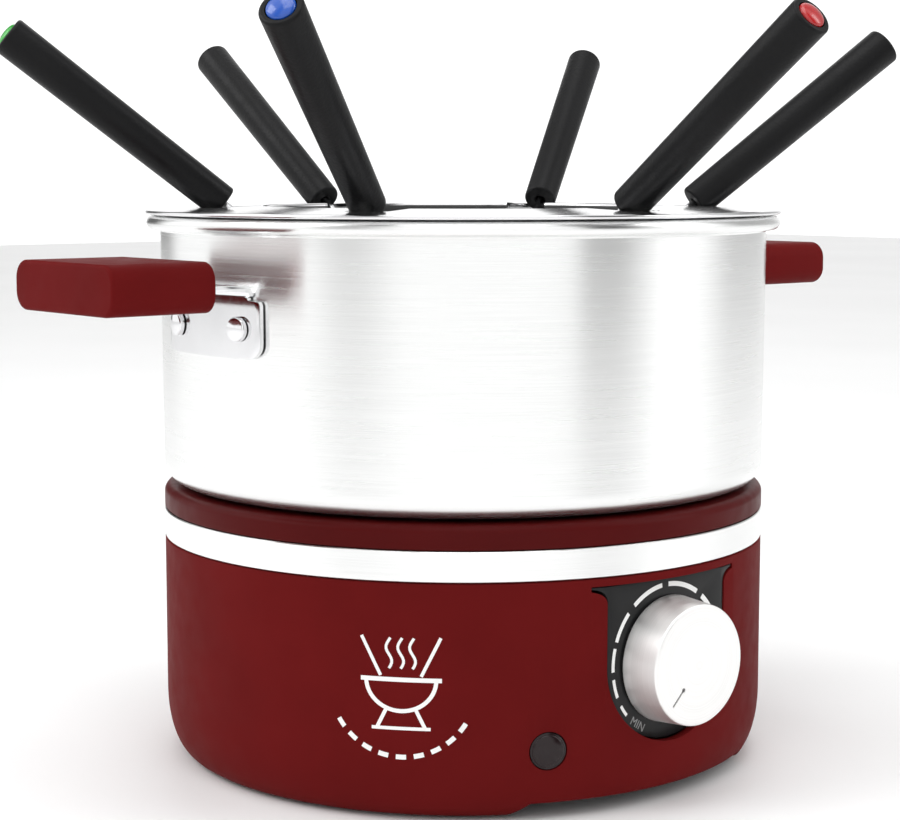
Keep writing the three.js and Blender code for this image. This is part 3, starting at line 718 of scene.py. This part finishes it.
def dial_dash(number, start, end, width):
    """One dash of the heat scale. Angles run clockwise from the top, in degrees."""
    steps = max(4, int((end - start) / 3))
    outer = []
    inner = []
    for i in range(steps + 1):
        angle = math.radians(start + (end - start) * i / steps)
        for radius, side in ((SCALE_RADIUS + width / 2, outer), (SCALE_RADIUS - width / 2, inner)):
            side.append((radius * math.sin(angle), radius * math.cos(angle)))
    dash = prism(outer + inner[::-1], BEZEL_FACE, BEZEL_FACE + PRINT_LIFT)
    printed = to_object(f"scale_dash_{number}", facing_front(dash), print_white)
    return finish_piece(printed, "base", "black_plastic")


def dial_word(word, angle):
    """A word printed along the scale's circle, upright towards the knob's axis at its own angle."""
    curve = bpy.data.curves.new(f"scale_{word}", "FONT")
    curve.body = word
    curve.size = WORD_SIZE
    curve.align_x = "CENTER"
    curve.align_y = "CENTER"
    curve.extrude = PRINT_LIFT / 2
    curve.resolution_u = 4
    text = bpy.data.objects.new(f"text_{word}", curve)
    bpy.context.scene.collection.objects.link(text)
    bpy.context.view_layer.update()
    mesh = bpy.data.meshes.new_from_object(text.evaluated_get(bpy.context.evaluated_depsgraph_get()))
    bpy.data.objects.remove(text)
    label = bpy.data.objects.new(f"scale_{word.lower()}", mesh)
    bpy.context.scene.collection.objects.link(label)
    mesh.materials.clear()
    mesh.materials.append(print_grey)
    turn = math.radians(180 - angle)
    spot = math.radians(angle)
    radius = SCALE_RADIUS - WORD_INSET
    place = Vector((radius * math.sin(spot), radius * math.cos(spot), BEZEL_FACE))
    flat = Matrix.Translation(place) @ Matrix.Rotation(turn, 4, "Z")
    mesh.transform(Matrix.Translation((0, 0, DIAL_HEIGHT)) @ Matrix.Rotation(math.pi / 2, 4, "X") @ flat)
    return finish_piece(label, "base", "black_plastic")


def make_scale():
    """The dashes grow longer and bolder clockwise, from MIN at the lower left to MAX at the lower right."""
    for number, (start, end) in enumerate(SCALE_DASHES, start=1):
        dial_dash(number, start, end, (0.8 + 0.09 * number) * MM)
    dial_word("MIN", -WORD_ANGLE)
    dial_word("MAX", WORD_ANGLE)


# ------------------------------------------------------------------ printed motif

MOTIF_ANGLE = math.radians(-50.5)
MOTIF_HEIGHT = 34.5 * MM
PRINT_RADIUS = BASE_RADIUS + 0.03 * MM


def printed_stroke(name, points, width):
    """A line of white print that follows the housing.

    Points are (along, up) in millimetres from the motif's centre.
    """
    rings = []
    for i, point in enumerate(points):
        before = Vector(points[max(i - 1, 0)])
        after = Vector(points[min(i + 1, len(points) - 1)])
        along = (after - before).normalized()
        side = Vector((-along.y, along.x)) * width / 2
        ring = []
        for sign, lift in ((1, 0), (-1, 0), (-1, 1), (1, 1)):
            spot = (Vector(point) + side * sign) * MM
            angle = MOTIF_ANGLE + spot.x / BASE_RADIUS
            radius = PRINT_RADIUS + lift * PRINT_LIFT
            ring.append((radius * math.sin(angle), -radius * math.cos(angle), MOTIF_HEIGHT + spot.y))
        rings.append(ring)
    return finish_piece(to_object(name, loft(rings), print_white), "base", "burgundy_paint")


def make_motif():
    """A plain drawing of a bowl on a stand with three curls of steam, over an arc of short dashes."""
    bowl = arc((0, 5), 9.5, 8.5, 180, 360, 28)
    printed_stroke("motif_bowl", bowl, 1.1)
    printed_stroke("motif_rim", [(-11 + i, 5) for i in range(23)], 1.2)
    for sign in (-1, 1):
        side = "left" if sign < 0 else "right"
        printed_stroke(f"motif_leg_{side}", [(sign * (4 + 0.5 * i), -3 - i) for i in range(6)], 1.0)
        fork = [(sign * (5.5 + 0.75 * i), 6 + 1.5 * i) for i in range(8)]
        printed_stroke(f"motif_fork_{side}", fork, 0.9)
    printed_stroke("motif_foot", [(-8 + i, -8.2) for i in range(17)], 0.9)
    for number, x in enumerate((-3.2, 0, 3.2)):
        curl = [(x + 0.8 * math.sin(i * 0.62), 8 + 0.75 * i) for i in range(12)]
        printed_stroke(f"motif_steam_{number + 1}", curl, 0.75)
    for number in range(9):
        middle = 270 + (number - 4) * 14
        dash = arc((0, 3), 20, 19, middle - 4, middle + 4, 5)
        printed_stroke(f"motif_dash_{number + 1}", dash, 1.3)


# ------------------------------------------------------------------ pot

RIVET_ANGLE = math.radians(9.1)
RIVET_HEIGHT = 131 * MM


def make_pot():
    low_radius = 89.8 * MM
    top_radius = 90.2 * MM
    wall = 1 * MM
    corner = 6 * MM
    floor = POT_LOW.z + 2.2 * MM
    bead = 2.1 * MM
    bead_centre = (POT_HIGH.x - bead, POT_HIGH.z - bead)
    inner = corner - wall
    profile = [
        (0, POT_LOW.z),
        (70 * MM, POT_LOW.z),
        (70.6 * MM, POT_LOW.z + 0.25 * MM),
        *arc((low_radius - corner, POT_LOW.z + corner), corner, corner, -90, 0, 14),
        (top_radius, bead_centre[1] - 2.6 * MM),
        *arc(bead_centre, bead, bead, -125, 105, 22),
        (top_radius - wall + 0.5 * MM, bead_centre[1] + 1.4 * MM),
        (top_radius - wall, bead_centre[1]),
        *arc((low_radius - wall - inner, floor + inner), inner, inner, 0, -90, 12),
        (60 * MM, floor),
        (0, floor),
    ]
    pot = to_object("pot", turned(profile, AROUND_POT), brushed)
    return finish_piece(pot, "pot", "brushed_steel", "pot_shell")


def make_bracket(side, sign):
    """A bent sheet: a tab that follows the pot's wall, a bend with relief notches and a flat tang."""
    sheet = 1.5 * MM
    inner = 90.5 * MM
    tab_low = 123 * MM
    tang_top = 142.9 * MM
    tang_end = 125.7 * MM
    bend = 2.2 * MM
    tab_half = 22 * MM
    tang_half = 18.5 * MM
    corner = 4 * MM
    across = 24
    mid = inner + sheet / 2
    bend_low = tang_top - sheet / 2 - bend
    stations = []
    for i in range(7):
        angle = math.radians(90 * i / 6)
        half = tab_half - corner * (1 - math.sin(angle))
        stations.append((half, tab_low + corner * (1 - math.cos(angle)), 0))
    stations.append((tab_half, bend_low - 2.4 * MM, 0))
    relief_notch = (
        (tab_half - 0.5 * MM, 1.4),
        (tang_half - 0.7 * MM, 1.1),
        (tang_half - 0.9 * MM, 0.5),
        (tang_half, 0),
    )
    for half, height in relief_notch:
        stations.append((half, bend_low - height * MM, 0))
    for i in range(1, 7):
        angle = math.radians(90 * i / 6)
        stations.append((tang_half, bend_low + bend * math.sin(angle), bend * (1 - math.cos(angle))))
    for i in range(1, 5):
        stations.append((tang_half, bend_low + bend, bend + i))
    builder = bmesh.new()
    rows = []
    for half, height, out in stations:
        row = []
        for k in range(across + 1):
            y = half * (2 * k / across - 1)
            wall = math.sqrt(mid * mid - y * y)
            x = wall + out
            if out > bend:
                start = wall + bend
                x = start + (tang_end - start) * (out - bend) / 4
            row.append(builder.verts.new((x, y, height)))
        rows.append(row)
    for low, high in zip(rows, rows[1:]):
        for k in range(across):
            builder.faces.new((low[k], low[k + 1], high[k + 1], high[k]))
    name = f"bracket_sheet_{side}"
    obj = to_object(name, builder, bright)
    thick = obj.modifiers.new("sheet", "SOLIDIFY")
    thick.thickness = sheet
    thick.offset = 0
    apply_modifiers(obj)
    soften(obj, 0.25 * MM, 2, 60)
    if sign < 0:
        obj.data.transform(Matrix.Rotation(math.pi, 4, "Z"))
    return finish_piece(obj, "pot", "polished_steel", f"bracket_{side}")


def make_grip(side, sign):
    """A moulded bar with a rounded section; both ends roll over into flat faces."""
    low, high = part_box(f"grip_{side}")
    inner = min(abs(low.x), abs(high.x))
    outer = max(abs(low.x), abs(high.x))
    half = high.y
    roll = 1.1 * MM
    small = 0.6 * MM
    section_corner = 5 * MM
    stations = []
    for i in range(6):
        angle = math.radians(90 * i / 5)
        stations.append((inner + small * (1 - math.sin(angle)), small * (1 - math.cos(angle))))
    stations.sort()
    for i in range(9):
        angle = math.radians(90 * i / 8)
        stations.append((outer - roll * (1 - math.sin(angle)), roll * (1 - math.cos(angle))))
    rings = []
    for x, inset in stations:
        corner = section_corner - inset * 0.8
        outline = rounded_outline(half - inset, low.z + inset, high.z - inset, corner, 10)
        rings.append([(x, y, z) for y, z in outline])
    obj = to_object(f"grip_bar_{side}", loft(rings), burgundy, 50)
    slot_half = 18.8 * MM
    slot = block((inner - 2 * MM, -slot_half, 141.1 * MM), (126 * MM, slot_half, 143.2 * MM))
    carve(obj, [slot])
    smooth(obj, 50)
    if sign < 0:
        obj.data.transform(Matrix.Rotation(math.pi, 4, "Z"))
    return finish_piece(obj, "pot", "burgundy_paint", f"grip_{side}")


def make_rivet(side, sign, end_name, end):
    head = 3.4 * MM
    outside = 92.3 * MM
    inside = 88.5 * MM
    profile = [
        (0, inside - 1.2 * MM),
        *arc((head - 1.0 * MM, inside - 0.4 * MM), 0.8 * MM, 0.8 * MM, -90, 0, 5),
        (head - 0.2 * MM, inside),
        (1.9 * MM, inside),
        (1.9 * MM, outside),
        (head, outside),
        (head, outside + 0.9 * MM),
        *arc((head - 0.6 * MM, outside + 0.9 * MM), 0.6 * MM, 0.6 * MM, 15, 80, 5),
        (head * 0.4, outside + 1.75 * MM),
        (0, outside + 1.85 * MM),
    ]
    turn = sign * (math.pi / 2 + end * RIVET_ANGLE)
    name = f"rivet_{side}_{end_name}"
    rivet = to_object(f"{name}_head", facing_out(turned(profile, AROUND_SMALL), turn, RIVET_HEIGHT), bright)
    return finish_piece(rivet, "pot", "polished_steel", name)


# ------------------------------------------------------------------ fork ring and forks

FORK_COUNT = 6
FORK_TILT = math.radians(38.2)
FORK_PIVOT_RADIUS = 92 * MM
FORK_PIVOT_HEIGHT = 179.9 * MM
FORK_MISS = 4.8 * MM
CAP_ORDER = ("red", "purple", "orange", "yellow", "green", "blue")


def make_ring():
    sheet = 1.2 * MM
    outer = RING_HIGH.x
    inner = 60 * MM
    rib = 88.6 * MM
    flange_top = 162 * MM
    flange_low = flange_top - sheet
    top = RING_HIGH.z
    lip = 0.5 * MM
    profile = [
        (rib, flange_low),
        *arc((outer - sheet / 2, flange_low + sheet / 2), sheet / 2, sheet / 2, -90, 90, 8),
        (rib + 1.6 * MM, flange_top),
        (rib + 0.6 * MM, flange_top + 0.15 * MM),
        (inner + 2 * MM, top - 0.05 * MM),
        *arc((inner + 0.9 * MM, top - 0.9 * MM), 0.9 * MM, 0.9 * MM, 90, 180, 5),
        (inner, 159 * MM + lip),
        (inner + 0.3 * MM, 159 * MM),
        (inner + sheet, 159 * MM),
        (inner + sheet, top - sheet),
        (rib - 2 * MM, flange_low),
        (rib - 1.6 * MM, RING_LOW.z),
        (rib - 0.3 * MM, RING_LOW.z),
    ]
    obj = to_object("slotted_ring", turned(profile, AROUND_RING), ring_steel)
    slot_half = 6.5 * MM
    round_centre = 80 * MM - slot_half
    slot_start = -inner + 10 * MM
    outline = [
        (-slot_half, slot_start),
        *arc((0, -round_centre), slot_half, slot_half, 180, 360, 24),
        (slot_half, slot_start),
    ]
    slots = []
    for number in range(FORK_COUNT):
        cut = prism(outline, RING_LOW.z - 1 * MM, top + 2 * MM)
        slots.append(moved(cut, Matrix.Rotation(TURN * number / FORK_COUNT, 4, "Z")))
    carve(obj, slots)
    soften(obj, 0.22 * MM, 2, 50)
    darken_lip(obj, inner + 0.6 * MM, top - 0.8 * MM)
    return finish_piece(obj, "ring", "polished_steel", "fork_ring")


def darken_lip(obj, radius, height):
    """The unpolished face of the ring's inner lip takes its own material."""
    obj.data.materials.append(lip_steel)
    for face in obj.data.polygons:
        if face.center.xy.length < radius and face.center.z < height:
            face.material_index = 1


def fork_matrix(number):
    """Where fork 1 to 6 stands: along +Z of its own frame, leaning out of its slot."""
    station = Matrix.Rotation(TURN * (number - 1) / FORK_COUNT, 4, "Z")
    shift = Matrix.Translation((0, -FORK_PIVOT_RADIUS, FORK_PIVOT_HEIGHT))
    swirl = Matrix.Rotation(math.asin(FORK_MISS / FORK_PIVOT_RADIUS), 4, "Z")
    lean = Matrix.Rotation(math.pi / 2 - FORK_TILT, 4, "X")
    return station @ shift @ swirl @ lean


HANDLE_LOW = -26.1 * MM
HANDLE_TOP = 51.9 * MM
CAP_RADIUS = 3.8 * MM
CAP_DOME = 1.2 * MM


def make_fork_handle(number):
    low_radius = 5.15 * MM
    top_radius = 5.75 * MM
    roll = 0.9 * MM
    pocket = HANDLE_TOP - 2.4 * MM
    shaft = 1.4 * MM
    profile = [
        (0, HANDLE_LOW + 24 * MM),
        (shaft, HANDLE_LOW + 24 * MM),
        (shaft, HANDLE_LOW + 0.5 * MM),
        (shaft + 0.5 * MM, HANDLE_LOW),
        *arc((low_radius - roll, HANDLE_LOW + roll), roll, roll, -90, 0, 6),
        *arc((top_radius - roll, HANDLE_TOP - roll), roll, roll, 0, 90, 6),
        (CAP_RADIUS + 0.3 * MM, HANDLE_TOP - 0.1 * MM),
        (CAP_RADIUS + 0.3 * MM, pocket),
        (0, pocket),
    ]
    obj = to_object(f"handle_{number}", moved(turned(profile, 64), fork_matrix(number)), handle_black)
    return finish_piece(obj, f"fork_{number}", "black_plastic", f"fork_{number}_handle")


def make_fork_cap(number, colour_name, material):
    low = HANDLE_TOP - 2.1 * MM
    profile = [
        (0, low),
        (CAP_RADIUS, low),
        (CAP_RADIUS, HANDLE_TOP - 0.2 * MM),
        *arc((0, HANDLE_TOP - 0.2 * MM), CAP_RADIUS, CAP_DOME + 0.2 * MM, 8, 82, 10),
        (0, HANDLE_TOP + CAP_DOME),
    ]
    obj = to_object(f"cap_{number}", moved(turned(profile, AROUND_SMALL), fork_matrix(number)), material)
    return finish_piece(obj, f"fork_{number}", f"cap_{colour_name}", f"fork_{number}_cap")


def fork_head_outline(tip, crotch, head_base, shaft):
    """Half of the two-tine head from the shaft to the middle of the crotch, then mirrored."""
    half = 3.2 * MM
    inside = 1.7 * MM
    shoulder = []
    for i in range(9):
        t = i / 8
        x = (1 - t) ** 2 * shaft + 2 * t * (1 - t) * half + t * t * half
        z = (1 - t) ** 2 * head_base + 2 * t * (1 - t) * (head_base - 1 * MM) + t * t * crotch
        shoulder.append((x, z))
    tine = [(half, tip + 4 * MM), (half - 0.25 * MM, tip + 0.5 * MM), (half - 0.4 * MM, tip)]
    tine += [(half - 0.6 * MM, tip + 0.6 * MM), (inside + 0.15 * MM, tip + 3 * MM), (inside, tip + 4.5 * MM)]
    right = shoulder + tine
    bridge = arc((0, crotch), inside, inside, 0, 180, 12)
    left = [(-x, z) for x, z in reversed(right)]
    return right + bridge + left


def make_fork_tines(number):
    tip = -151.6 * MM
    crotch = tip + 22 * MM
    head_base = crotch + 7 * MM
    shaft = 1.1 * MM
    thickness = 1.6 * MM
    top = HANDLE_LOW + 23.7 * MM
    profile = [(0, head_base - 3 * MM), (shaft, head_base - 3 * MM), (shaft, top), (0, top)]
    obj = to_object(f"prongs_{number}", turned(profile, 24), bright)
    outline = fork_head_outline(tip, crotch, head_base, shaft)
    head = moved(prism(outline, -thickness / 2, thickness / 2), Matrix.Rotation(math.pi / 2, 4, "X"))
    carve(obj, [head], "UNION")
    soften(obj, 0.18 * MM, 2, 50)
    obj.data.transform(fork_matrix(number))
    return finish_piece(obj, f"fork_{number}", "polished_steel", f"fork_{number}_tines")


# ------------------------------------------------------------------ CAD pieces that stay, inside the base


def dress_inner_pieces():
    choices = {
        "heating_element": bright,
        "heat_shield": sheet_aluminium,
        "cross_bar": bright,
        "plate_nut": bright,
        "base_cover": cover_black,
        "thermostat_body": ceramic,
        "thermostat_nut": brass,
        "thermostat_shaft": bright,
        "knob_core": cover_black,
        "lamp_bulb": brass,
        "terminal_block": ceramic,
        "thermal_fuse": bright,
    }
    for wire, colour in WIRE_COLOURS.items():
        choices[f"lead_{wire}"] = plastic(f"wire_{wire}", colour, 0.5)
    for node, material in choices.items():
        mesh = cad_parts[node].data
        mesh.materials.clear()
        mesh.materials.append(material)


# ------------------------------------------------------------------ stage, light and camera

CAMERA_ANGLE = math.radians(-40)
CAMERA_DISTANCE = 0.6245
CAMERA_HEIGHT = 0.173
CAMERA_PITCH = math.radians(6.56)
CAMERA_YAW = math.radians(0.36)
CAMERA_LENS = 82.8


def make_camera():
    data = bpy.data.cameras.new("camera")
    data.lens = CAMERA_LENS
    data.sensor_width = 36
    data.clip_end = 20
    camera = bpy.data.objects.new("camera", data)
    bpy.context.scene.collection.objects.link(camera)
    place = Matrix.Rotation(CAMERA_ANGLE, 4, "Z") @ Vector((0, -CAMERA_DISTANCE, 0))
    camera.location = (place.x, place.y, CAMERA_HEIGHT)
    camera.rotation_euler = (math.pi / 2 - CAMERA_PITCH, 0, CAMERA_ANGLE + CAMERA_YAW)
    bpy.context.scene.camera = camera


def make_floor():
    builder = bmesh.new()
    bmesh.ops.create_grid(builder, x_segments=2, y_segments=2, size=4)
    pale = Recipe("floor")
    pale.set(Roughness=0.6)
    pale.colour(pale.noise(3, 2), (0.9, 0.9, 0.9), (0.93, 0.93, 0.93))
    floor = to_object("floor", builder, pale.material)


AIM_HEIGHT = 0.1


def area_light(name, angle, distance, height, size, power):
    """A soft light aimed at the middle of the set. The angle is counted from the camera, in degrees."""
    data = bpy.data.lights.new(name, "AREA")
    data.shape = "RECTANGLE"
    data.size = size[0]
    data.size_y = size[1]
    data.energy = power
    light = bpy.data.objects.new(name, data)
    bpy.context.scene.collection.objects.link(light)
    turn = CAMERA_ANGLE + math.radians(angle)
    light.location = (distance * math.sin(turn), -distance * math.cos(turn), height)
    aim = Vector((0, 0, AIM_HEIGHT)) - light.location
    light.rotation_euler = aim.to_track_quat("-Z", "Y").to_euler()


WORLD_BRIGHTNESS = 1.2
# angle from the camera, clockwise from above in degrees, and brightness: the pale wall dims softly in places
WORLD_STRIPS = (
    (-167, 1.0),
    (-160, 0.08),
    (-144, 0.08),
    (-132, 1.0),
    (-62, 1.0),
    (-46, 0.4),
    (-38, 0.4),
    (-22, 1.0),
    (34, 1.0),
    (46, 0.05),
    (60, 0.05),
    (76, 1.0),
    (100, 1.0),
    (116, 0.35),
    (150, 0.45),
    (166, 1.0),
)


def strip_position(angle):
    """Where a direction given from the camera lies on the world's colour ramp."""
    return (-(angle + math.degrees(CAMERA_ANGLE)) / 360) % 1


def make_world():
    """A pale studio: bright all round, with a few soft darker uprights that show in the steel."""
    world = bpy.data.worlds.new("studio")
    world.use_nodes = True
    bpy.context.scene.world = world
    nodes = world.node_tree.nodes
    links = world.node_tree.links
    background = nodes["Background"]
    background.inputs["Strength"].default_value = WORLD_BRIGHTNESS
    direction = nodes.new("ShaderNodeTexCoord").outputs["Generated"]
    split = nodes.new("ShaderNodeSeparateXYZ")
    links.new(direction, split.inputs["Vector"])
    heading = nodes.new("ShaderNodeMath")
    heading.operation = "ARCTAN2"
    links.new(split.outputs["X"], heading.inputs[0])
    links.new(split.outputs["Y"], heading.inputs[1])
    share = nodes.new("ShaderNodeMapRange")
    share.inputs["From Min"].default_value = -math.pi
    share.inputs["From Max"].default_value = math.pi
    links.new(heading.outputs["Value"], share.inputs["Value"])
    ramp = nodes.new("ShaderNodeValToRGB")
    stops = ramp.color_ramp.elements
    stops[0].color = (1, 1, 1, 1)
    stops[1].color = (1, 1, 1, 1)
    for angle, level in WORLD_STRIPS:
        stop = stops.new(strip_position(angle))
        stop.color = (level, level, level, 1)
    links.new(share.outputs["Result"], ramp.inputs["Fac"])
    links.new(ramp.outputs["Color"], background.inputs["Color"])


# ------------------------------------------------------------------ assembly

bpy.context.scene.view_settings.view_transform = "Standard"
make_camera()
make_world()
make_floor()
area_light("key", -80, 1.3, 1.2, (0.9, 0.9), 8)
area_light("fill", 85, 1.4, 0.9, (0.4, 1.0), 4)
area_light("top", 10, 0.3, 1.5, (1.0, 1.0), 6)

make_housing()
make_band()
make_collar()
make_plate()
make_bezel()
make_lamp()
make_gland()
for foot_number in range(1, 5):
    make_foot(foot_number)
    make_screw(foot_number)
make_knob()
make_scale()
make_motif()

make_pot()
for side_name, side_sign in (("left", -1), ("right", 1)):
    make_bracket(side_name, side_sign)
    make_grip(side_name, side_sign)
    for rivet_end, rivet_sign in (("front", -1), ("back", 1)):
        make_rivet(side_name, side_sign, rivet_end, rivet_sign)

make_ring()
for fork_number, cap_name in enumerate(CAP_ORDER, start=1):
    cap_plastic = plastic(f"cap_{cap_name}", CAP_COLOURS[cap_name], 0.2, 0.000005, 900, 0.06, 0.4)
    make_fork_handle(fork_number)
    make_fork_cap(fork_number, cap_name, cap_plastic)
    make_fork_tines(fork_number)

dress_inner_pieces()
